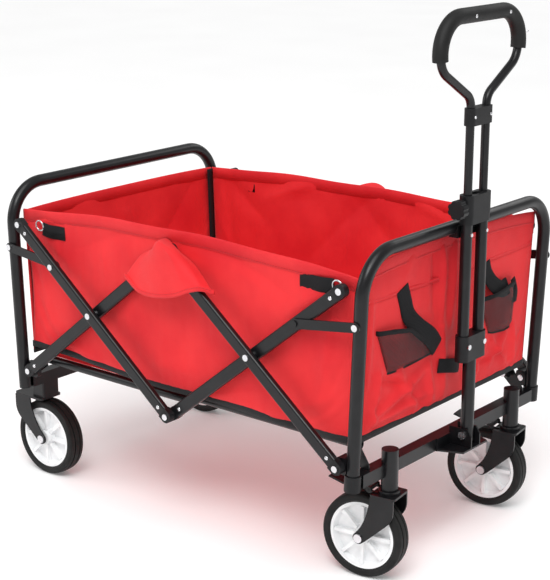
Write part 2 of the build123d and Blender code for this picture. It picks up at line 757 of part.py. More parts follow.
# front casters
hinge_at = caster_trail - 30
for side, word in ((1, "left"), (-1, "right")):
    turn = radians(caster_rest)
    stand = Plane(origin=(stem_x, side * stem_y, 0), x_dir=(cos(turn), sin(turn), 0), z_dir=(0, 0, 1))
    hub_at = stand.from_local_coords((-caster_trail, 0, wheel_r))
    wheel = Plane(origin=hub_at, x_dir=stand.x_dir, z_dir=stand.y_dir.reverse())
    make_wheel("front_" + word, wheel)
    with BuildPart() as fork:
        add_fork_arms(wheel, crown_z - wheel_r, caster_trail - 22, caster_trail + 20, 1)
        with BuildSketch(stand.offset(crown_z)):
            with Locations((-1, 0)):
                RectangleRounded(46, 2 * (fork_gap + fork_thick), 6)
        extrude(amount=crown_thick)
        with BuildSketch(stand.offset(crown_z + crown_thick)):
            Circle(18)
        extrude(amount=socket_low_z - crown_z - crown_thick - face_gap)
        with BuildSketch(stand.offset(crown_z)):
            Circle(stem_r)
        extrude(amount=socket_high_z - 8 - crown_z)
        for ear in (-1, 1):
            with BuildSketch(wheel.offset(ear * pedal_half + ear * face_gap)):
                with Locations((hinge_at, pedal_z - wheel_r)):
                    Circle(5)
                with Locations((hinge_at + 8, pedal_z - wheel_r - 3)):
                    Rectangle(16, 4)
                with Locations((hinge_at, pedal_z - wheel_r)):
                    Circle(pedal_pin_r + running, mode=Mode.SUBTRACT)
            extrude(amount=ear * 2.5)
    save(fork.part, f"caster_{word}_fork")
    with BuildPart() as axle:
        add_axle(wheel, fork_gap + fork_thick)
    save(axle.part, f"caster_{word}_axle")
    # brake pedal, hinged between two ears on the back of the crown
    with BuildPart() as pedal:
        with BuildSketch(wheel) as side_view:
            with BuildLine():
                Polyline(
                    (hinge_at, pedal_z - wheel_r - 1.5),
                    (hinge_at, pedal_z - wheel_r + 1.5),
                    (-36, pedal_z - wheel_r + 1.5),
                    (-62, pedal_z - wheel_r + 9),
                    (-64, pedal_z - wheel_r + 6),
                    (-37, pedal_z - wheel_r - 1.5),
                    close=True,
                )
            make_face()
        extrude(to_extrude=side_view.sketch, amount=pedal_half, both=True)
        with BuildSketch(wheel) as barrel:
            with Locations((hinge_at, pedal_z - wheel_r)):
                Circle(3.5)
        extrude(to_extrude=barrel.sketch, amount=pedal_half, both=True)
        with BuildSketch(wheel) as pin_face:
            with Locations((hinge_at, pedal_z - wheel_r)):
                Circle(pedal_pin_r)
        extrude(to_extrude=pin_face.sketch, amount=pedal_half + 3.5, both=True)
    save(pedal.part, f"brake_pedal_{word}")

# ---- handle bracket on the front cross tube --------------------------------
front_face_x = front_cross_x + cross_size / 2
bracket_thick = 3.0
with BuildPart() as bracket:
    with BuildSketch(Plane.YZ.offset(front_face_x)):
        with Locations((0, cross_z)):
            Rectangle(2 * bracket_half_width, cross_size)
    extrude(amount=bracket_thick)
    with BuildSketch(Plane.XY.offset(cross_z - cross_size / 2)):
        with BuildLine():
            Polyline(
                (front_face_x, -bracket_half_width),
                (lip_x, -bracket_half_width + 18),
                (lip_x, bracket_half_width - 18),
                (front_face_x, bracket_half_width),
                close=True,
            )
        make_face()
    extrude(amount=bracket_thick)
    for y in (-cheek_y - cheek_thick, cheek_y):
        with BuildSketch(Plane.XZ.offset(-y)):
            with BuildLine():
                Polyline(
                    (front_face_x, cross_z - cross_size / 2),
                    (front_face_x, handle_pivot_z + 12),
                    (handle_x + 10, handle_pivot_z + 12),
                    (lip_x, handle_pivot_z),
                    (lip_x, cross_z - cross_size / 2),
                    close=True,
                )
            make_face()
            with Locations((handle_x, handle_pivot_z)):
                Circle(handle_pin_r + 0.02, mode=Mode.SUBTRACT)
        extrude(amount=-cheek_thick)
save(bracket.part, "handle_bracket")

with BuildPart() as hinge_pin:
    add_pin(handle_x, handle_pivot_z, -cheek_y - cheek_thick - 3,
            [(3, handle_pin_r + 3), (2 * (cheek_y + cheek_thick), handle_pin_r), (3, handle_pin_r + 3)])
save(hinge_pin.part, "handle_hinge_pin")

# clip on the top bar that holds the handle upright
bar_x = leg_x(hoop_z, front_leg_x)
clip_low = 549.0
clip_high = 569.0
clip_back = bar_x - 4
clip_face = handle_x - sleeve_r - face_gap
with BuildPart() as clip:
    with BuildSketch(Plane.XY.offset(clip_low)):
        with Locations(((clip_back + clip_face) / 2, 0)):
            Rectangle(clip_face - clip_back, 2 * rod_y + 22)
    extrude(amount=clip_high - clip_low)
    with BuildSketch(Plane.XZ.offset(-60)):
        with Locations((bar_x, hoop_z)):
            Circle(tube_r)
    extrude(amount=120, mode=Mode.SUBTRACT)
save(clip.part, "handle_clip")

# ---- handle: base tube, clamp, twin sleeves, collar ------------------------
with BuildPart() as base_tube:
    with BuildSketch(Plane.XY.offset(handle_pivot_z - 12)):
        with Locations((handle_x, 0)):
            Circle(base_tube_d / 2)
            Circle(base_tube_d / 2 - tube_wall, mode=Mode.SUBTRACT)
    extrude(amount=base_tube_top - handle_pivot_z + 12)
    with BuildSketch(Plane.XZ.offset(-30)):
        with Locations((handle_x, handle_pivot_z)):
            Circle(handle_pin_r + running)
    extrude(amount=60, mode=Mode.SUBTRACT)
save(base_tube.part, "handle_base_tube")

with BuildPart() as clamp:
    with BuildSketch(Plane.XY.offset(clamp_low_z)):
        with Locations((handle_x, 0)):
            SlotCenterToCenter(2 * rod_y, 2 * sleeve_r + 6, rotation=90)
            Circle(base_tube_d / 2, mode=Mode.SUBTRACT)
    extrude(amount=base_tube_top - clamp_low_z)
    with BuildSketch(Plane.XY.offset(base_tube_top)):
        with Locations((handle_x, 0)):
            SlotCenterToCenter(2 * rod_y, 2 * sleeve_r + 6, rotation=90)
    extrude(amount=sleeve_low_z - base_tube_top)
    with BuildSketch(Plane.XY.offset(sleeve_low_z)):
        with Locations((handle_x, 0)):
            SlotCenterToCenter(2 * rod_y, 2 * sleeve_r + 6, rotation=90)
        with Locations((handle_x, rod_y), (handle_x, -rod_y)):
            Circle(sleeve_r, mode=Mode.SUBTRACT)
    extrude(amount=clamp_high_z - sleeve_low_z + 8)
save(clamp.part, "handle_lower_clamp")

with BuildPart() as sleeves:
    with BuildSketch(Plane.XY.offset(sleeve_low_z)):
        with Locations((handle_x, rod_y), (handle_x, -rod_y)):
            Circle(sleeve_r)
            Circle(rod_r + face_gap, mode=Mode.SUBTRACT)
    extrude(amount=collar_low_z + 12 - sleeve_low_z)
save(sleeves.part, "handle_sleeves")

with BuildPart() as collar:
    with BuildSketch(Plane.XY.offset(collar_low_z)):
        with Locations((handle_x, 0)):
            SlotCenterToCenter(2 * rod_y, 2 * collar_half_x - 2, rotation=90)
        with Locations((handle_x, rod_y), (handle_x, -rod_y)):
            Circle(sleeve_r, mode=Mode.SUBTRACT)
    extrude(amount=12)
    with BuildSketch(Plane.XY.offset(collar_low_z + 12)):
        with Locations((handle_x, 0)):
            SlotCenterToCenter(2 * rod_y, 2 * collar_half_x, rotation=90)
        with Locations((handle_x, rod_y), (handle_x, -rod_y)):
            Circle(rod_r + face_gap, mode=Mode.SUBTRACT)
    extrude(amount=collar_high_z - collar_low_z - 12)
    with BuildSketch(Plane.XY.offset(collar_low_z + 20)):
        with Locations((handle_x, 0)):
            SlotOverall(2 * rod_y - 20, 12, rotation=90)
    extrude(amount=collar_high_z - collar_low_z, mode=Mode.SUBTRACT)
save(collar.part, "handle_collar")

# knob that locks the rods, on the right end of the collar
knob_z = (collar_low_z + collar_high_z) / 2 + 4
knob_y = -(rod_y + collar_half_x)
with BuildPart() as knob:
    with BuildSketch(Plane.XZ.offset(-knob_y + face_gap)):
        with Locations((handle_x, knob_z)):
            Circle(7)
    extrude(amount=6)
    with BuildSketch(Plane.XZ.offset(-knob_y + face_gap + 6)):
        with Locations((handle_x, knob_z)):
            Circle(knob_r)
        with Locations((handle_x, knob_z)):
            with PolarLocations(knob_r + 2.5, 8):
                Circle(4.5, mode=Mode.SUBTRACT)
    extrude(amount=14)
save(knob.part, "lock_knob")

with BuildPart() as handle_rivets:
    for x, z, deep in ((handle_x, clamp_low_z + 8, base_tube_d / 2 + 3.7), (handle_x, 555.0, 0)):
        if deep:
            for side in (-1, 1):
                with BuildSketch(Plane.YZ.offset(handle_x + sleeve_r + 3)):
                    with Locations((side * rod_y, clamp_low_z + 26)):
                        Circle(rivet_head_r - 1)
                extrude(amount=2)
        else:
            for side in (-1, 1):
                with BuildSketch(Plane.YZ.offset(handle_x + sleeve_r - 0.5)):
                    with Locations((side * rod_y, z)):
                        Circle(3)
                extrude(amount=2)
    with BuildSketch(Plane.XY.offset(500)):
        with Locations((handle_x, rod_y), (handle_x, -rod_y)):
            Circle(sleeve_r)
    extrude(amount=100, mode=Mode.SUBTRACT)
save(handle_rivets.part, "handle_rivets")


# ---- sliding part of the handle --------------------------------------------
def loop_points():
    """Outline of the rods and the loop, in the upright plane across the wagon."""
    right = [(-rod_y, rod_low_z), (-rod_y, loop_neck_z), (-loop_side_y, loop_side_z), (-loop_top_y, loop_top_z)]
    return right + [(-y, z) for y, z in reversed(right)]


loop_radii = [26.0, 36.0, loop_corner]
handle_plane = Plane(origin=(handle_x, 0, 0), x_dir=(0, 1, 0), z_dir=(1, 0, 0))
with BuildPart() as loop:
    with BuildLine(handle_plane) as path:
        FilletPolyline(*loop_points(), radius=loop_radii + loop_radii[::-1])
    with BuildSketch(Plane(origin=path.line @ 0, z_dir=path.line % 0)):
        Circle(rod_r)
        Circle(rod_r - 1.2, mode=Mode.SUBTRACT)
    sweep()
save(loop.part, "handle_loop")

with BuildPart() as grip:
    with BuildLine(handle_plane) as path:
        FilletPolyline(
            (-loop_top_y + (loop_top_z - grip_low_z) / (loop_top_z - loop_side_z) * (loop_top_y - loop_side_y),
             grip_low_z - 10),
            (-loop_top_y, loop_top_z), (loop_top_y, loop_top_z),
            (loop_top_y - (loop_top_z - grip_low_z) / (loop_top_z - loop_side_z) * (loop_top_y - loop_side_y),
             grip_low_z - 10),
            radius=loop_corner,
        )
    with BuildSketch(Plane(origin=path.line @ 0, z_dir=path.line % 0)):
        Circle(grip_r)
    sweep()
    add(loop.part, mode=Mode.SUBTRACT)
    with BuildLine(handle_plane) as core:
        FilletPolyline(*loop_points()[2:6], radius=loop_radii[2])
    with BuildSketch(Plane(origin=core.line @ 0, z_dir=core.line % 0)) as core_face:
        Circle(rod_r)
    sweep(sections=core_face.sketch, path=core.line, mode=Mode.SUBTRACT)
save(grip.part, "handle_grip")

with BuildPart() as spacer:
    with BuildSketch(Plane.XY.offset(spacer_low_z)):
        with Locations((handle_x, 0)):
            SlotCenterToCenter(2 * rod_y, 2 * rod_r + 6, rotation=90)
        with Locations((handle_x, rod_y), (handle_x, -rod_y)):
            Circle(rod_r, mode=Mode.SUBTRACT)
    extrude(amount=spacer_high_z - spacer_low_z)
save(spacer.part, "handle_spacer")

print(len(written), "sub-parts")
print("rest angle", round(rest_angle, 4), "fold turn", round(fold_turn, 4), "travel", round(travel, 3))
print("bar length", round(bar_length, 3), "floor turn", round(floor_turn, 4))
print("link turns", round(rear_link_turn, 4), round(front_link_turn, 4), "leg", round(rear_leg_x, 3))
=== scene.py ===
import json
import math

import bmesh
import bpy
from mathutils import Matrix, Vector, noise


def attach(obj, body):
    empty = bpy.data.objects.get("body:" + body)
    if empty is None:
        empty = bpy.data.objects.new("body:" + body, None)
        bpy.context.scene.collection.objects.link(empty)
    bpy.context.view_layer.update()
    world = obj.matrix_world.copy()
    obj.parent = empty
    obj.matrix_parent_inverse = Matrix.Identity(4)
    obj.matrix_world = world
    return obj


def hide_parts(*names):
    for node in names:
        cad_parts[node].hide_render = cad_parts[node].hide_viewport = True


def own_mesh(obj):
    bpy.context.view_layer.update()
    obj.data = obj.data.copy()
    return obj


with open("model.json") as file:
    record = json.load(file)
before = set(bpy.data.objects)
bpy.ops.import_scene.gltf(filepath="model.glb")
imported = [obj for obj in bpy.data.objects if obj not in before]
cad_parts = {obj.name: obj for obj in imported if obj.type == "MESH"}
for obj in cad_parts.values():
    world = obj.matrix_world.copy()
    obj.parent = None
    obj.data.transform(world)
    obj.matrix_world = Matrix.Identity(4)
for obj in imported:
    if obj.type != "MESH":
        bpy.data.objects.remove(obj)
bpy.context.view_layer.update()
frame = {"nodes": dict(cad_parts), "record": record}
nodes = frame["nodes"]

# ---- sizes, in millimetres, in the wagon's own frame ------------------------
SHIFT = 9.5  # the wagon's middle is this far along +X in the row frame
LEAN = math.tan(math.radians(2.3))
REAR_BASE = 371.5  # the end panels' distance from the middle at z = 190
FRONT_BASE = 364.5
WALL_Y = 258.0
CLOTH = 1.3
FLOOR_Z = 254.6


def at(x, y, z):
    """A point of the wagon, given in millimetres, in the row frame in metres."""
    return Vector(((x + SHIFT) / 1000, y / 1000, z / 1000))


def rear_x(z):
    return -(REAR_BASE + (z - 190) * LEAN)


def front_x(z):
    return FRONT_BASE + (z - 190) * LEAN


def smooth(a, b, t):
    t = max(0.0, min(1.0, (t - a) / (b - a)))
    return t * t * (3 - 2 * t)


# ---- materials --------------------------------------------------------------
def new_material(name):
    m = bpy.data.materials.new(name)
    m.use_nodes = True
    tree = m.node_tree
    return m, tree, tree.nodes["Principled BSDF"]


def link(tree, a, b):
    tree.links.new(a, b)


def coords(tree):
    return tree.nodes.new("ShaderNodeTexCoord").outputs["Object"]


def noise_tex(tree, scale, detail=4.0, vector=None):
    n = tree.nodes.new("ShaderNodeTexNoise")
    n.inputs["Scale"].default_value = scale
    n.inputs["Detail"].default_value = detail
    link(tree, vector or coords(tree), n.inputs["Vector"])
    return n.outputs["Fac"]


def ramp(tree, fac, stops):
    r = tree.nodes.new("ShaderNodeValToRGB")
    while len(r.color_ramp.elements) < len(stops):
        r.color_ramp.elements.new(0.5)
    for element, (pos, colour) in zip(r.color_ramp.elements, stops):
        element.position = pos
        element.color = (*colour, 1)
    link(tree, fac, r.inputs["Fac"])
    return r.outputs["Color"]


def math_node(tree, op, a, b=None):
    n = tree.nodes.new("ShaderNodeMath")
    n.operation = op
    for i, v in enumerate((a, b)):
        if v is None:
            continue
        if isinstance(v, (int, float)):
            n.inputs[i].default_value = v
        else:
            link(tree, v, n.inputs[i])
    return n.outputs[0]


def bump(tree, height, strength, distance, normal=None):
    b = tree.nodes.new("ShaderNodeBump")
    b.inputs["Strength"].default_value = strength
    b.inputs["Distance"].default_value = distance
    link(tree, height, b.inputs["Height"])
    if normal is not None:
        link(tree, normal, b.inputs["Normal"])
    return b.outputs["Normal"]


def vary(tree, low, high, fac):
    """A value between low and high, following fac."""
    n = tree.nodes.new("ShaderNodeMapRange")
    n.inputs["To Min"].default_value = low
    n.inputs["To Max"].default_value = high
    link(tree, fac, n.inputs["Value"])
    return n.outputs[0]


def weave_height(tree, pitch):
    """Over-and-under threads of a plain weave on upright and flat cloth alike."""
    sep = tree.nodes.new("ShaderNodeSeparateXYZ")
    link(tree, coords(tree), sep.inputs[0])
    x, y, z = sep.outputs
    per_turn = 2 * math.pi / pitch
    warp = math_node(tree, "SINE", math_node(tree, "MULTIPLY", math_node(tree, "ADD", x, y), per_turn))
    weft = math_node(tree, "SINE", math_node(tree, "MULTIPLY", math_node(tree, "SUBTRACT", z, y), per_turn))
    return math_node(tree, "MULTIPLY", warp, weft)


def cloth_material(name, base, dark, pitch=0.0011, rough=0.6, sheen=0.06, crumple=0.35):
    m, tree, bsdf = new_material(name)
    link(tree, ramp(tree, noise_tex(tree, 9.0, 5.0), [(0.3, dark), (0.62, base)]), bsdf.inputs["Base Color"])
    fine = bump(tree, weave_height(tree, pitch), 0.25, 0.0004)
    wrinkle = bump(tree, noise_tex(tree, 26.0, 3.0), crumple, 0.004, fine)
    link(tree, bump(tree, noise_tex(tree, 160.0, 2.0), 0.12, 0.001, wrinkle), bsdf.inputs["Normal"])
    link(tree, vary(tree, rough - 0.08, rough + 0.1, noise_tex(tree, 40.0)), bsdf.inputs["Roughness"])
    bsdf.inputs["Sheen Weight"].default_value = sheen
    bsdf.inputs["Sheen Roughness"].default_value = 0.45
    bsdf.inputs["Specular IOR Level"].default_value = 0.22
    return m


def paint_material(name, base, rough, coat, peel=0.05, metallic=0.0, shine=0.5):
    m, tree, bsdf = new_material(name)
    worn = tuple(min(1.0, c * 1.25 + 0.004) for c in base)
    tint = ramp(tree, noise_tex(tree, 35.0, 6.0), [(0.35, base), (0.78, worn)])
    link(tree, tint, bsdf.inputs["Base Color"])
    link(tree, bump(tree, noise_tex(tree, 900.0, 2.0), peel, 0.0006), bsdf.inputs["Normal"])
    link(tree, vary(tree, rough - 0.06, rough + 0.08, noise_tex(tree, 55.0, 5.0)), bsdf.inputs["Roughness"])
    bsdf.inputs["Specular IOR Level"].default_value = shine
    bsdf.inputs["Coat Weight"].default_value = coat
    bsdf.inputs["Coat Roughness"].default_value = 0.12
    bsdf.inputs["Metallic"].default_value = metallic
    return m


def webbing_material(name, base):
    m, tree, bsdf = new_material(name)
    sep = tree.nodes.new("ShaderNodeSeparateXYZ")
    link(tree, coords(tree), sep.inputs[0])
    a = math_node(tree, "ADD", sep.outputs[2], math_node(tree, "MULTIPLY", sep.outputs[0], 0.6))
    ribs = math_node(tree, "SINE", math_node(tree, "MULTIPLY", a, 2 * math.pi / 0.0019))
    lighter = tuple(c * 1.6 for c in base)
    link(tree, ramp(tree, vary(tree, 0, 1, ribs), [(0.0, base), (1.0, lighter)]), bsdf.inputs["Base Color"])
    grain = bump(tree, noise_tex(tree, 420.0, 3.0), 0.25, 0.0006)
    link(tree, bump(tree, ribs, 0.4, 0.0005, grain), bsdf.inputs["Normal"])
    bsdf.inputs["Roughness"].default_value = 0.72
    bsdf.inputs["Sheen Weight"].default_value = 0.02
    bsdf.inputs["Specular IOR Level"].default_value = 0.2
    return m


MESH_PITCH = 0.0042  # two openings to a turn, in metres
THREAD_SHARE = 0.27  # the lower, the wider the openings


def mesh_material(name, base):
    """Open knitted mesh: threads round small holes that let the cloth behind show."""
    m, tree, bsdf = new_material(name)
    sep = tree.nodes.new("ShaderNodeSeparateXYZ")
    link(tree, coords(tree), sep.inputs[0])
    per_turn = 2 * math.pi / MESH_PITCH
    wave = []
    for out in (sep.outputs[1], sep.outputs[2]):
        wave.append(math_node(tree, "SINE", math_node(tree, "MULTIPLY", out, per_turn)))
    product = math_node(tree, "ABSOLUTE", math_node(tree, "MULTIPLY", wave[0], wave[1]))
    alpha = math_node(tree, "LESS_THAN", product, THREAD_SHARE)
    link(tree, alpha, bsdf.inputs["Alpha"])
    tint = ramp(tree, noise_tex(tree, 80.0), [(0.3, base), (0.8, tuple(c * 2 for c in base))])
    link(tree, tint, bsdf.inputs["Base Color"])
    link(tree, bump(tree, product, 0.4, 0.0005), bsdf.inputs["Normal"])
    bsdf.inputs["Roughness"].default_value = 0.65
    return m


def tyre_material(name):
    m, tree, bsdf = new_material(name)
    stops = [(0.35, (0.006, 0.006, 0.006)), (0.8, (0.016, 0.0155, 0.015))]
    tint = ramp(tree, noise_tex(tree, 45.0, 6.0), stops)
    link(tree, tint, bsdf.inputs["Base Color"])
    grain = bump(tree, noise_tex(tree, 700.0, 3.0), 0.3, 0.0008)
    link(tree, bump(tree, noise_tex(tree, 60.0, 3.0), 0.15, 0.002, grain), bsdf.inputs["Normal"])
    link(tree, vary(tree, 0.5, 0.72, noise_tex(tree, 30.0)), bsdf.inputs["Roughness"])
    bsdf.inputs["Specular IOR Level"].default_value = 0.25
    return m


RED = cloth_material("red_polyester", (0.81, 0.028, 0.033), (0.67, 0.013, 0.021))
RED_HEM = cloth_material("red_hem", (0.77, 0.028, 0.034), (0.63, 0.014, 0.022), crumple=0.2)
THREAD = cloth_material("red_thread", (0.55, 0.015, 0.02), (0.42, 0.010, 0.016), pitch=0.0006, sheen=0.1)
BLACK_CLOTH = cloth_material(
    "black_binding", (0.022, 0.021, 0.022), (0.010, 0.010, 0.011), rough=0.72, sheen=0.1
)
WEBBING = webbing_material("black_webbing", (0.006, 0.006, 0.007))
MESH = mesh_material("black_mesh", (0.012, 0.012, 0.013))
FRAME = paint_material("black_powder_coat", (0.004, 0.004, 0.005), 0.30, 0.05, shine=0.32)
STEEL = paint_material("bright_rivet", (0.66, 0.66, 0.68), 0.26, 0.0, metallic=1.0)
PLASTIC = paint_material("black_plastic", (0.005, 0.005, 0.006), 0.44, 0.0, peel=0.14, shine=0.28)
WHITE = paint_material("white_plastic", (0.80, 0.81, 0.82), 0.36, 0.1, peel=0.04)
GRIP = paint_material("grip_rubber", (0.006, 0.006, 0.006), 0.55, 0.0, peel=0.35, shine=0.3)
TYRE = tyre_material("tyre_rubber")

slots = {"black_frame": FRAME, "rivet_steel": STEEL, "tyre_rubber": TYRE, "white_hub": WHITE,
         "black_plastic": PLASTIC, "grip_rubber": GRIP, "black_mesh": MESH, "red_cloth": RED}
for part in frame["record"]["subparts"]:
    name = part.get("node")
    if name in nodes:
        piece = nodes[name]
        piece.data.materials.clear()
        piece.data.materials.append(slots[part["material_slot"]])


# ---- mesh helpers -----------------------------------------------------------
def mesh_object(name, verts, faces, material, face_outward=False):
    """A smooth mesh object with one material, linked to the scene."""
    data = bpy.data.meshes.new(name)
    data.from_pydata(verts, [], faces)
    if face_outward:
        bm = bmesh.new()
        bm.from_mesh(data)
        bmesh.ops.recalc_face_normals(bm, faces=bm.faces)
        bm.to_mesh(data)
        bm.free()
    data.shade_smooth()
    data.materials.append(material)
    obj = bpy.data.objects.new(name, data)
    bpy.context.scene.collection.objects.link(obj)
    return obj


def thicken(obj, thickness):
    """Gives a sheet its thickness, in millimetres, on both sides of its middle."""
    solid = obj.modifiers.new("thickness", "SOLIDIFY")
    solid.thickness = thickness / 1000
    solid.offset = 0


def tube_faces(count, around):
    """Faces of a closed tube of count rings, each of around points, with both ends capped."""
    faces = []
    for i in range(count - 1):
        for k in range(around):
            n = (k + 1) % around
            faces.append((i * around + k, i * around + n, (i + 1) * around + n, (i + 1) * around + k))
    faces.append(tuple(range(around))[::-1])
    faces.append(tuple((count - 1) * around + k for k in range(around)))
    return faces


def grid_mesh(name, columns, rows, point, material, thickness=CLOTH):
    """A sheet whose points are point(u, v), u and v from 0 to 1, as a mesh object."""
    verts = [point(i / columns, j / rows) for j in range(rows + 1) for i in range(columns + 1)]
    width = columns + 1
    faces = []
    for j in range(rows):
        for i in range(columns):
            near, far = j * width + i, (j + 1) * width + i
            faces.append((near, near + 1, far + 1, far))
    obj = mesh_object(name, verts, faces, material)
    thicken(obj, thickness)
    return obj


def crease_height(creases, a, b):
    """Sum of the ridges and valleys near a point of a flat panel, in millimetres."""
    total = 0.0
    for (a0, b0), (a1, b1), width, height in creases:
        da, db = a1 - a0, b1 - b0
        length = max(1e-6, da * da + db * db)
        t = max(0.0, min(1.0, ((a - a0) * da + (b - b0) * db) / length))
        gap = math.hypot(a - a0 - da * t, b - b0 - db * t)
        if gap < width:
            ends = math.sin(math.pi * min(1.0, max(0.0, 0.12 + 0.88 * t))) ** 0.5 if 0 < t < 1 else 0.35
            total += height * (1 - gap / width) ** 1.6 * ends
    return total


def swept(name, line, profile, material, across):
    """A closed band: profile points (across, up) carried along a line of points."""
    verts = []
    for p in line:
        for out, up in profile:
            verts.append(p + across * (out / 1000) + Vector((0, 0, 1)) * (up / 1000))
    return mesh_object(name, verts, tube_faces(len(line), len(profile)), material, face_outward=True)


def catmull(points, steps):
    """Points along a smooth curve through the given ones."""
    out = []
    n = len(points)
    for i in range(n - 1):
        p0, p1, p2, p3 = (points[max(0, min(n - 1, i + k))] for k in (-1, 0, 1, 2))
        for s in range(steps):
            t = s / steps
            out.append(0.5 * ((2 * p1) + (p2 - p0) * t + (2 * p0 - 5 * p1 + 4 * p2 - p3) * t * t
                              + (3 * p1 - p0 - 3 * p2 + p3) * t ** 3))
    out.append(points[-1].copy())
    return out


STRAP_SECTION = ((-0.5, -0.5), (-0.46, 0.1), (-0.3, 0.5), (0.3, 0.5), (0.46, 0.1), (0.5, -0.5))


def strap(name, points, width, thick, across):
    """A flat webbing strap along a smooth line; across is the direction of its width."""
    line = catmull([at(*p) for p in points], 8)
    verts = []
    for i, p in enumerate(line):
        ahead = (line[min(i + 1, len(line) - 1)] - line[max(i - 1, 0)]).normalized()
        wide = Vector(across)
        wide = (wide - ahead * wide.dot(ahead)).normalized()
        up = ahead.cross(wide)
        for a, b in STRAP_SECTION:
            verts.append(p + wide * (a * width / 1000) + up * (b * thick / 1000))
    return mesh_object(name, verts, tube_faces(len(line), len(STRAP_SECTION)), WEBBING, face_outward=True)


def ring_wire(name, points, radius, material):
    """A closed round wire through the given points, as a mesh."""
    curve = bpy.data.curves.new(name, "CURVE")
    curve.dimensions = "3D"
    curve.bevel_depth = radius / 1000
    curve.bevel_resolution = 4
    curve.use_fill_caps = False
    spline = curve.splines.new("NURBS")
    spline.points.add(len(points) - 1)
    for p, c in zip(spline.points, points):
        p.co = (*at(*c), 1)
    spline.order_u = 3
    spline.use_endpoint_u = False
    spline.use_cyclic_u = True
    made = bpy.data.objects.new(name + "_curve", curve)
    bpy.context.scene.collection.objects.link(made)
    data = bpy.data.meshes.new_from_object(made)
    data.name = name
    bpy.data.objects.remove(made)
    data.materials.clear()
    data.materials.append(material)
    data.shade_smooth()
    obj = bpy.data.objects.new(name, data)
    bpy.context.scene.collection.objects.link(obj)
    return obj


SIM_FRAMES = 36
IN_PLANE_CAP = 0.003  # how far a point may slide within its sheet, in metres


def relax(obj, pinned, normal, cap, slack, fade):
    """Lets a sheet hang between its pinned points by cloth simulation, then keeps at most cap of the move."""
    rest = [v.co.copy() for v in obj.data.vertices]
    group = obj.vertex_groups.new(name="pins")
    group.add([i for i in range(len(rest)) if pinned(i)], 1.0, "REPLACE")
    for m in list(obj.modifiers):
        obj.modifiers.remove(m)
    cloth = obj.modifiers.new("cloth", "CLOTH")
    cloth.settings.quality = 6
    cloth.settings.mass = 0.25
    cloth.settings.tension_stiffness = 25
    cloth.settings.compression_stiffness = 8
    cloth.settings.shear_stiffness = 6
    cloth.settings.bending_stiffness = 0.12
    cloth.settings.vertex_group_mass = "pins"
    cloth.settings.shrink_min = -slack
    cloth.settings.air_damping = 4
    cloth.point_cache.frame_start = 1
    cloth.point_cache.frame_end = SIM_FRAMES
    scene = bpy.context.scene
    for f in range(1, SIM_FRAMES + 1):
        scene.frame_set(f)
    graph = bpy.context.evaluated_depsgraph_get()
    moved = [v.co.copy() for v in obj.evaluated_get(graph).data.vertices]
    obj.modifiers.remove(cloth)
    obj.vertex_groups.remove(group)
    scene.frame_set(1)
    n = Vector(normal)
    for i, v in enumerate(obj.data.vertices):
        d = moved[i] - rest[i]
        out = d.dot(n)
        flat = d - n * out
        slide = flat * min(1.0, IN_PLANE_CAP / max(flat.length, 1e-6))
        v.co = rest[i] + (n * (cap * math.tanh(out / cap)) + slide) * fade(i)
    thicken(obj, CLOTH)


def add_folds(obj, columns, rows, place):
    """Adds the folds of place(u, v, folds) to a sheet that was made without them."""
    for j in range(rows + 1):
        for i in range(columns + 1):
            u, v = i / columns, j / rows
            obj.data.vertices[j * (columns + 1) + i].co += place(u, v, 1.0) - place(u, v, 0.0)


# ---- tub: side walls --------------------------------------------------------
def wall_top(x, side):
    peak, drop = (541.5, 19.0) if side < 0 else (531.0, 12.0)
    return peak - drop * abs(x / 368) ** 2.3 + 1.2 * math.sin(x / 37.0)


def wall_low(x, side):
    rise = 10.0 * smooth(-40, -330, x) + 3.0 * smooth(300, 60, x)
    return 253.5 + 1.0 * math.sin(x / 55.0) + (rise if side < 0 else 0.5 * rise)


side_creases = [
    ((0, 500), (150, 330), 40, 5.0), ((0, 500), (-170, 330), 40, 4.0),
    ((330, 505), (230, 440), 34, 5.0), ((330, 505), (300, 300), 22, 4.0),
    ((-340, 500), (-240, 420), 34, 5.0), ((-350, 500), (-320, 300), 22, 4.0),
    ((120, 520), (250, 470), 22, -3.0), ((-120, 520), (-250, 470), 22, -3.0),
    ((-60, 300), (60, 300), 34, 3.5), ((200, 262), (340, 330), 26, 3.5),
    ((-200, 262), (-340, 330), 26, 3.5), ((60, 262), (170, 300), 18, 3.0),
]
COLUMNS, ROWS = 132, 52
# outlines of the bands along the cloth's edges, as (outward, up) from the edge
HEM_PROFILE = [
    (-1.2, -21), (-1.4, 0.3), (-0.7, 1.3), (0.4, 1.5), (1.2, 0.7), (1.6, -1), (1.3, -21), (0.6, -21.4),
]
BINDING_PROFILE = [(-2.0, 9), (-2.2, -2), (0, -3.2), (2.4, -2), (2.4, 9), (1.0, 9.6)]
SEAM_PROFILE = [(-0.8, -3), (1.2, -2.6), (1.5, 0), (1.0, 2.6), (-0.8, 3)]
FLAP_HEM_PROFILE = [(-1.2, 7), (-1.3, -0.6), (0, -1.4), (1.3, -0.6), (1.4, 7), (0, 7.4)]
POCKET_RIM_PROFILE = [(-1.2, -6), (-1.3, 0.5), (0, 1.6), (1.6, 0.5), (1.6, -6), (0, -6.6)]
POCKET_FOOT_PROFILE = [(-0.6, 2), (-0.7, -1), (0.8, -1), (0.8, 2)]
HEM_STITCH = (1.7, -18.0)  # outward and up from the hem's edge


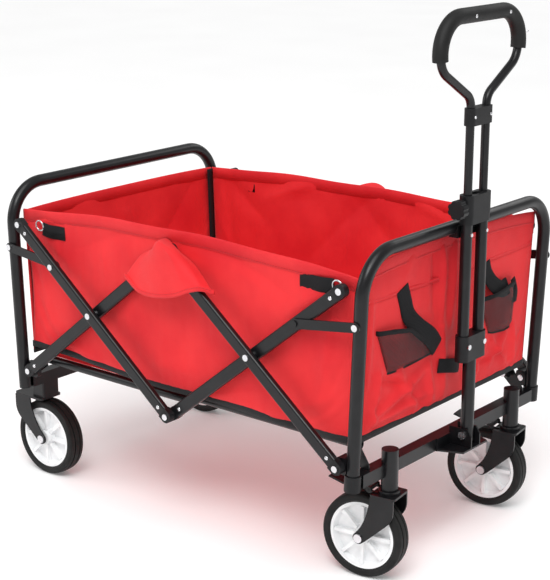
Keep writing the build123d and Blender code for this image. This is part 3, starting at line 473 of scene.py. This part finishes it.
def side_wall(side, word):
    def place(u, v, folds=1.0):
        z0 = 252.0
        x = rear_x(z0) * (1 - u) + front_x(z0) * u
        low, top = wall_low(x, side), wall_top(x, side)
        z = low + (top - low) * v
        pinch = 11.0 * math.sin(math.pi * min(1.0, max(0.0, (z - 262) / 250)))
        x = (rear_x(z) + 1.5 + (pinch if side < 0 else 0)) * (1 - u) + (front_x(z) - 1.5) * u
        edge = smooth(0, 0.09, u) * smooth(0, 0.09, 1 - u)
        rim = smooth(0, 0.1, 1 - v)
        y = WALL_Y + 4.0 * edge * smooth(0.3, 1.0, v)
        y += crease_height(side_creases, x, z) * edge * rim * smooth(0, 0.1, v) * folds
        y += 2.2 * noise.noise(Vector((x / 90, z / 55, side * 3.1))) * edge * rim * folds
        return at(x, side * y, z)

    sheet = grid_mesh("side_wall_" + word, COLUMNS, ROWS, lambda u, v: place(u, v, 0.0), RED)

    def pinned(i):
        col, row = i % (COLUMNS + 1), i // (COLUMNS + 1)
        return row == 0 or row >= ROWS - 3 or col == 0 or col == COLUMNS

    def fade(i):
        u, v = (i % (COLUMNS + 1)) / COLUMNS, (i // (COLUMNS + 1)) / ROWS
        return smooth(0, 0.05, u) * smooth(0, 0.05, 1 - u) * smooth(0, 0.06, v) * smooth(0.02, 0.14, 1 - v)

    relax(sheet, pinned, (0, side, 0), 0.004, 0.006, fade)
    add_folds(sheet, COLUMNS, ROWS, place)
    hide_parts("tub_side_" + word)

    # hem at the top, with its stitches, and binding at the bottom
    top = [place(i / 120, 1.0) for i in range(121)]
    low = [place(i / 120, 0.0) for i in range(121)]
    out = Vector((0, side, 0))
    hem = swept("side_hem_" + word, top, HEM_PROFILE, RED_HEM, out)
    stitch = stitches("side_stitch_" + word, top, out, *HEM_STITCH)
    bind = swept("side_binding_" + word, low, BINDING_PROFILE, BLACK_CLOTH, out)
    pieces = [hem, stitch, bind]
    for p in [sheet] + pieces:
        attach(p, "base")
        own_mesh(p)


def stitches(name, line, across, out, up, dash=3.4, gap=2.2):
    """A row of raised thread stitches along a line of points."""
    verts, faces = [], []
    total, at_len = 0.0, [0.0]
    for a, b in zip(line, line[1:]):
        total += (b - a).length * 1000
        at_len.append(total)

    def on(d):
        for i in range(len(line) - 1):
            if at_len[i + 1] >= d:
                t = (d - at_len[i]) / max(1e-9, at_len[i + 1] - at_len[i])
                return line[i].lerp(line[i + 1], t)
        return line[-1]

    d = 4.0
    while d + dash < total:
        p, q = on(d), on(d + dash)
        rise = Vector((0, 0, 1))
        base = len(verts)
        for end, r in ((p, 0.35), ((p + q) / 2, 0.6), (q, 0.35)):
            centre = end + across * (out / 1000) + rise * (up / 1000)
            for a, b in ((0, 1), (1, 0), (0, -1), (-1, 0)):
                verts.append(centre + across * (a * r / 1000) + rise * (b * r / 1000))
        for s in range(2):
            for k in range(4):
                n = (k + 1) % 4
                faces.append((base + s * 4 + k, base + s * 4 + n, base + s * 4 + 4 + n, base + s * 4 + 4 + k))
        faces.append((base, base + 1, base + 2, base + 3))
        faces.append((base + 11, base + 10, base + 9, base + 8))
        d += dash + gap
    obj = mesh_object(name, verts, faces, THREAD)
    return obj


side_wall(1, "left")
side_wall(-1, "right")


# ---- tub: end panels --------------------------------------------------------
def end_panel(word, end, base_x, top_of, creases, body, cap):
    half = 255.5
    cols, rows = 132, 76

    def place(u, v, folds=1.0):
        y = half * (2 * u - 1)
        low, top = 252.5, top_of(y)
        z = low + (top - low) * v
        edge = smooth(0, 0.06, u) * smooth(0, 0.06, 1 - u) * smooth(0, 0.07, v) * smooth(0, 0.07, 1 - v)
        bulge = crease_height(creases, y, z) + 2.0 * noise.noise(Vector((y / 80, z / 60, 7.7 * end)))
        x = base_x(z) + end * bulge * edge * folds
        return at(x, y, z)

    sheet = grid_mesh(word + "_wall", cols, rows, lambda u, v: place(u, v, 0.0), RED)

    def pinned(i):
        col, row = i % (cols + 1), i // (cols + 1)
        return row == 0 or row >= rows - 3 or col == 0 or col == cols

    def fade(i):
        u, v = (i % (cols + 1)) / cols, (i // (cols + 1)) / rows
        return smooth(0, 0.05, u) * smooth(0, 0.05, 1 - u) * smooth(0, 0.06, v) * smooth(0.02, 0.14, 1 - v)

    relax(sheet, pinned, (end, 0, 0), cap, 0.006, fade)
    add_folds(sheet, cols, rows, place)
    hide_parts(word + "_panel")
    out = Vector((end, 0, 0))
    top = [place(i / 80, 1.0) for i in range(81)]
    low = [place(i / 80, 0.0) for i in range(81)]
    hem = swept(word + "_hem", top, HEM_PROFILE, RED_HEM, out)
    stitch = stitches(word + "_stitch", top, out, *HEM_STITCH)
    bind = swept(word + "_binding", low, BINDING_PROFILE, BLACK_CLOTH, out)
    for p in (sheet, hem, stitch, bind):
        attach(p, body)
    return place


rear_creases = [
    ((-200, 500), (-60, 300), 40, 4.0), ((200, 500), (40, 320), 40, 4.0), ((0, 480), (0, 300), 26, -2.5),
]
front_creases = [
    ((-37, 534), (-30, 400), 13, 8.0), ((-1, 534), (-6, 380), 15, 9.0), ((-62, 530), (-52, 420), 18, -6.0),
    ((30, 535), (24, 300), 26, 6.0), ((-30, 400), (-12, 262), 20, 8.0),
    ((-206, 360), (-226, 272), 17, 12.0), ((-222, 284), (-66, 336), 16, 11.0),
    ((-222, 276), (-60, 290), 15, 9.0), ((-196, 345), (-120, 318), 15, -9.0),
    ((-150, 352), (-96, 262), 17, 8.0), ((-66, 336), (-48, 262), 16, 9.0),
    ((-110, 300), (-60, 262), 12, -6.0), ((-232, 480), (-236, 330), 14, 6.0),
    ((110, 340), (70, 262), 18, 9.0), ((180, 335), (130, 290), 16, 9.0), ((200, 345), (215, 262), 18, 9.0),
    ((130, 335), (196, 262), 14, 8.0), ((95, 480), (120, 350), 20, -4.0), ((60, 300), (190, 300), 14, -6.0),
    ((-120, 540), (-150, 490), 30, 3.0),
]


def rear_top(y):
    return 523.5 - 4.0 * abs(y / 255) ** 3


def front_top(y):
    return 548.0 - 11.0 * abs(y / 255) ** 2.6


end_panel("rear", -1, rear_x, rear_top, rear_creases, "base", 0.004)
end_panel("front", 1, front_x, front_top, front_creases, "front_frame", 0.003)

# black strips inside the rear corners: painted shade, a dark sheet standing in for the shadow gap where the
# rear and side cloth meet
for side, word in ((1, "left"), (-1, "right")):
    corner = [(rear_x(z) + 5.5, side * 246, z) for z in (258, 320, 390, 455, 519)]
    strip = strap("corner_shade_strip_" + word, corner, 17, 1.4, (0, 1, 0))
    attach(strip, "base")

# the seam across the front panel, with its stitching
SEAM_STEPS = 60
seam_line = []
for i in range(SEAM_STEPS + 1):
    t = i / SEAM_STEPS
    seam_line.append(at(front_x(483) + 1.6, -250 + 500 * t, 484 - 4 * math.sin(math.pi * t)))
OUT_FRONT = Vector((1, 0, 0))
seam = swept("front_seam", seam_line, SEAM_PROFILE, RED_HEM, OUT_FRONT)
seam_stitch = stitches("front_seam_stitch", seam_line, OUT_FRONT, 1.4, -5.0)
for p in (seam, seam_stitch):
    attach(p, "front_frame")


# ---- tub: floor cloth, in the two halves that fold up ------------------------
def floor_half(word, end, body):
    reach = 351.0

    def place(u, v):
        x = end * (reach - 350.4 * u)
        y = 254.0 * (2 * v - 1)
        dip = 2.2 * noise.noise(Vector((x / 70, y / 60, 2.2)))
        raised = smooth(0, 0.1, v) * smooth(0, 0.1, 1 - v)
        over = 1.0 - 0.55 * smooth(0.86, 0.94, u)
        z = FLOOR_Z + (0.9 + max(0.0, dip)) * raised * over
        return at(x, y, z)

    sheet = grid_mesh(word + "_floor_cloth", 70, 84, place, RED)
    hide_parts(word + "_floor_board", *(["tub_floor"] if word == "rear" else []))
    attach(sheet, body)


floor_half("rear", -1, "rear_floor")
floor_half("front", 1, "front_floor")


# ---- flap over each top middle pivot ----------------------------------------
# rows of (x, distance from the wagon's middle plane, z), from the flap's top down
FLAP_ROWS = [
    [(-38, 265.5, 518), (-32, 266, 522), (-26, 266, 525), (-21, 266, 526), (-16, 266, 525), (-12, 266, 523),
     (-8, 265.5, 518)],
    [(-50, 267, 505), (-31, 286, 514), (-13, 301.5, 525), (0, 305, 529.5), (13, 303.5, 526), (24, 287, 517),
     (14, 268, 507)],
    [(-79, 270, 487), (-52, 290, 482), (-14, 304, 491), (24, 306, 499), (40, 304, 498), (54, 290, 494),
     (48, 270, 491)],
    [(-100, 286.5, 450), (-64, 291, 431), (-15, 301, 433), (30, 305, 443), (64, 306, 457), (90, 304, 464),
     (106, 290, 457)],
]


def flap(side, word):
    across = [catmull([Vector(p) for p in row], 10) for row in FLAP_ROWS]
    down = [catmull([row[i] for row in across], 14) for i in range(len(across[0]))]

    def place(u, v):
        x, y, z = down[round(u * (len(down) - 1))][round(v * (len(down[0]) - 1))]
        return at(x, side * min(y, 308.5), z)

    sheet = grid_mesh("flap_" + word, 60, 42, place, RED)
    low = [place(i / 60, 1.0) for i in range(61)]
    out = Vector((0, side, 0))
    hem = swept("flap_hem_" + word, low, FLAP_HEM_PROFILE, RED_HEM, out)
    stitch = stitches("flap_stitch_" + word, low, out, 1.5, 5.4)
    for p in (sheet, hem, stitch):
        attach(p, "rear_inner")
        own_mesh(p)


flap(-1, "right")
flap(1, "left")


# ---- straps and D-rings at the free ends of the long bars --------------------
RING_R = 9.5


def end_strap(side, word, end):
    y0, y1 = side * 262.5, side * 268
    if end > 0:
        line = [(262, y0, 504), (284, y0 * 1.006, 504), (308, y1, 505), (333, y1, 507)]
        ring_x, ring_z, body = 340, 509, "front_inner"
    else:
        line = [(-271, y0, 494), (-288, y0 * 1.004, 494), (-304, y1, 495), (-322, y1, 498)]
        ring_x, ring_z, body = -330, 502, "rear_outer"
    tag = f"{word}_{'front' if end > 0 else 'rear'}"
    band = strap("tie_" + tag, line, 25, 1.8, (0, 0, 1))
    ring_points = []
    for k in range(12):
        a = 2 * math.pi * k / 12
        ring_points.append((ring_x + end * RING_R * math.cos(a), side * (268.5 + 1.2 * math.sin(a)),
                            ring_z + RING_R * math.sin(a)))
    ring = ring_wire("ring_" + tag, ring_points, 1.5, STEEL)
    for p in (band, ring):
        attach(p, body)


for side, word in ((1, "left"), (-1, "right")):
    end_strap(side, word, 1)
    end_strap(side, word, -1)


# ---- mesh pockets and their straps on the front panel -----------------------
def edge_curve(points, t):
    k = min(len(points) - 2, int(t * (len(points) - 1)))
    f = t * (len(points) - 1) - k
    f = f * f * (3 - 2 * f) * 0.5 + f * 0.5
    return tuple(points[k][c] + (points[k + 1][c] - points[k][c]) * f for c in (0, 1))


def pocket(word, top, bottom, depth):
    def place(u, v):
        (ya, za), (yb, zb) = edge_curve(bottom, u), edge_curve(top, u)
        y, z = ya + (yb - ya) * v, za + (zb - za) * v
        belly = math.sin(math.pi * min(1, max(0, u))) ** 0.6 * smooth(0, 0.25, v)
        wave = 2.2 * noise.noise(Vector((y / 30, z / 26, 5.0)))
        return at(front_x(z) + 4.5 + (depth + wave) * belly, y, z)

    sheet = grid_mesh("mesh_pocket_" + word, 40, 30, place, MESH, thickness=0.8)
    rim_line = [place(i / 40, 1.0) for i in range(41)]
    rim = swept("pocket_rim_" + word, rim_line, POCKET_RIM_PROFILE, WEBBING, OUT_FRONT)
    foot_line = [place(i / 40, 0.0) for i in range(41)]
    foot = swept("pocket_foot_" + word, foot_line, POCKET_FOOT_PROFILE, WEBBING, OUT_FRONT)
    for p in (sheet, rim, foot):
        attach(p, "front_frame")
    return sheet, rim, foot


near_pocket = pocket("right", [(-218, 430), (-182, 427), (-144, 421), (-98, 391), (-54, 359)],
                     [(-182, 351), (-174, 350), (-150, 349), (-104, 351), (-56, 354)], 15)
pocket("left", [(80, 417), (106, 420), (140, 425), (176, 433), (194, 392)],
                    [(121, 346), (136, 342), (152, 340), (174, 338), (191, 340)], 15)
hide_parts("cup_pockets")


def on_front(low_z, proud, y, z):
    """A strap's point, proud of the front panel where the panel is at height low_z."""
    return front_x(low_z) + proud, y, z


for name, points, width, across in (
    ("strap_right_a", [on_front(484, 3.2, -150, 487), on_front(460, 4, -140, 462), on_front(436, 7, -132, 437),
                       on_front(414, 15, -114, 415), on_front(392, 19, -84, 392), on_front(368, 13, -54, 366)],
     34, (0, 1, 0.45)),
    ("strap_left_a", [on_front(478, 3.2, 96, 478), on_front(455, 6, 103, 456), on_front(434, 11, 118, 436),
                      on_front(422, 14, 138, 424), on_front(424, 15, 158, 426)], 30, (0, 1, 0.35)),
    ("strap_left_b", [on_front(434, 12, 178, 434), on_front(408, 14, 187, 410), on_front(386, 11, 192, 388)],
     14, (0, 1, 0.2)),
    ("front_loop", [on_front(318, 8, -38, 327), on_front(318, 14, -14, 323), on_front(318, 14, 6, 318),
                    on_front(318, 8, 25, 313)], 25, (0, 0, 1)),
):
    band = strap(name, points, width, 1.8, across)
    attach(band, "front_frame")

# ---- rivet heads ---------------------------------------------------------------
def dome(name, places, radius, height, out, material):
    """Round rivet heads, all facing one way, each at a place in millimetres."""
    n = Vector(out).normalized()
    wide = n.orthogonal().normalized()
    tall = n.cross(wide)
    verts, faces = [], []
    around, rings = 16, 4
    for p in places:
        base = len(verts)
        for r in range(rings):
            a = math.pi / 2 * r / rings
            for k in range(around):
                t = 2 * math.pi * k / around
                spread = (wide * math.cos(t) + tall * math.sin(t)) * (radius * math.cos(a) / 1000)
                verts.append(at(*p) + spread + n * (height * math.sin(a) / 1000))
        verts.append(at(*p) + n * (height / 1000))
        for r in range(rings - 1):
            for k in range(around):
                m = (k + 1) % around
                faces.append((base + r * around + k, base + r * around + m,
                              base + (r + 1) * around + m, base + (r + 1) * around + k))
        for k in range(around):
            last = base + (rings - 1) * around
            faces.append((last + k, last + (k + 1) % around, base + rings * around))
    return mesh_object(name, verts, faces, material)


PIVOT_X, PIVOT_Z, APEX_Z = 362, 223, 512  # the end pivots, and the pivots under the flaps
BAR_ANGLE = math.atan2(APEX_Z - PIVOT_Z, PIVOT_X)
HANDLE_X = 414.0
RAIL_Y = 23.0
END_HOLE = 22.0  # from a bar's end back to its small rivet
INNER_FACE, OUTER_FACE = 284.0, 299.6


def along_bar(low_x, way, distance):
    """A place on a bar that climbs from its low pivot towards way (1 is +X)."""
    return low_x + way * distance * math.cos(BAR_ANGLE), PIVOT_Z + distance * math.sin(BAR_ANGLE)


SHORT_BAR = math.hypot(PIVOT_X, APEX_Z - PIVOT_Z)
LONG_BAR = 453.0
for body, low_x, way, length, face in (
    ("rear_inner", -PIVOT_X, 1, SHORT_BAR, INNER_FACE),
    ("rear_outer", 0, -1, LONG_BAR, OUTER_FACE),
    ("front_inner", 0, 1, LONG_BAR, INNER_FACE),
    ("front_outer", PIVOT_X, -1, SHORT_BAR, OUTER_FACE),
):
    for side, word in ((1, "left"), (-1, "right")):
        spots = []
        for distance in (END_HOLE, length - END_HOLE):
            x, z = along_bar(low_x, way, distance)
            spots.append((x, side * (face - 0.2), z))
        heads = dome(f"bar_rivets_{word}_{body}", spots, 3.6, 1.7, (0, side, 0), STEEL)
        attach(heads, body)

# grip and spacer rivets, on the side that faces forward
for name, body, places, radius in (
    ("grip_rivets", "handle_slider", [(HANDLE_X + 12.1, -34, 905), (HANDLE_X + 12.1, 67, 904),
                                      (HANDLE_X + 10.9, -112, 868), (HANDLE_X + 10.7, 124, 868)], 3.0),
    ("spacer_rivets", "handle_slider", [(HANDLE_X + 9.6, -RAIL_Y, 746), (HANDLE_X + 9.6, RAIL_Y, 746)], 2.6),
):
    heads = dome(name, places, radius, 1.6, (1, 0, 0), STEEL)
    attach(heads, body)

# ---- camera, light and floor -------------------------------------------------
camera = bpy.data.objects.new("camera", bpy.data.cameras.new("camera"))
bpy.context.scene.collection.objects.link(camera)
bpy.context.scene.camera = camera
camera.location = at(1708.6, -2091.3, 1151.3)
aim = at(-2.3, -1.7, 382.0) - camera.location
camera.rotation_mode = "QUATERNION"
camera.rotation_quaternion = aim.to_track_quat("-Z", "Y")
camera.data.sensor_width = 36.0
camera.data.lens = 95.9
camera.data.clip_start = 0.05
camera.data.clip_end = 60

ground_mesh = bpy.data.meshes.new("ground")
ground_mesh.from_pydata([(-9, -9, 0), (9, -9, 0), (9, 9, 0), (-9, 9, 0)], [], [(0, 1, 2, 3)])
ground = bpy.data.objects.new("ground", ground_mesh)
bpy.context.scene.collection.objects.link(ground)
ground_material, tree, bsdf = new_material("pale_ground")
tint = ramp(tree, noise_tex(tree, 2.0, 2.0), [(0.3, (0.90, 0.90, 0.90)), (0.7, (0.93, 0.93, 0.93))])
link(tree, tint, bsdf.inputs["Base Color"])
bsdf.inputs["Emission Color"].default_value = (1, 1, 1, 1)
bsdf.inputs["Emission Strength"].default_value = 0.12
bsdf.inputs["Roughness"].default_value = 0.9
ground_mesh.materials.append(ground_material)

world = bpy.data.worlds.new("studio")
bpy.context.scene.world = world
world.use_nodes = True
sky = world.node_tree
backdrop = sky.nodes["Background"]
backdrop.inputs["Color"].default_value = (1, 1, 1, 1)
backdrop.inputs["Strength"].default_value = 1.05
glow = sky.nodes.new("ShaderNodeBackground")
glow.inputs["Color"].default_value = (1, 1, 1, 1)
glow.inputs["Strength"].default_value = 0.50
seen = sky.nodes.new("ShaderNodeLightPath")
mix = sky.nodes.new("ShaderNodeMixShader")
link(sky, seen.outputs["Is Camera Ray"], mix.inputs[0])
link(sky, glow.outputs[0], mix.inputs[1])
link(sky, backdrop.outputs[0], mix.inputs[2])
link(sky, mix.outputs[0], sky.nodes["World Output"].inputs["Surface"])


def area_light(name, place, target, size, power):
    lamp = bpy.data.lights.new(name, "AREA")
    lamp.shape = "RECTANGLE"
    lamp.size, lamp.size_y = size
    lamp.energy = power
    obj = bpy.data.objects.new(name, lamp)
    obj.location = place
    obj.rotation_mode = "QUATERNION"
    obj.rotation_quaternion = (Vector(target) - Vector(place)).to_track_quat("-Z", "Y")
    bpy.context.scene.collection.objects.link(obj)


sun = bpy.data.objects.new("sun", bpy.data.lights.new("sun", "SUN"))
sun.data.energy = 1.55
sun.data.angle = math.radians(50)
sun.rotation_mode = "QUATERNION"
sun.rotation_quaternion = Vector((-0.30, 0.42, -1.0)).to_track_quat("-Z", "Y")
bpy.context.scene.collection.objects.link(sun)
area_light("key", (1.3, -2.2, 3.0), (0, 0, 0.3), (1.3, 1.3), 40)
area_light("left_fill", (-3.0, -2.0, 1.8), (0, 0, 0.4), (2.0, 1.4), 22)
area_light("rim", (0.5, 3.2, 2.6), (0, 0, 0.5), (2.4, 1.2), 16)
bpy.context.scene.view_settings.view_transform = "Standard"
bpy.context.scene.view_settings.look = "None"
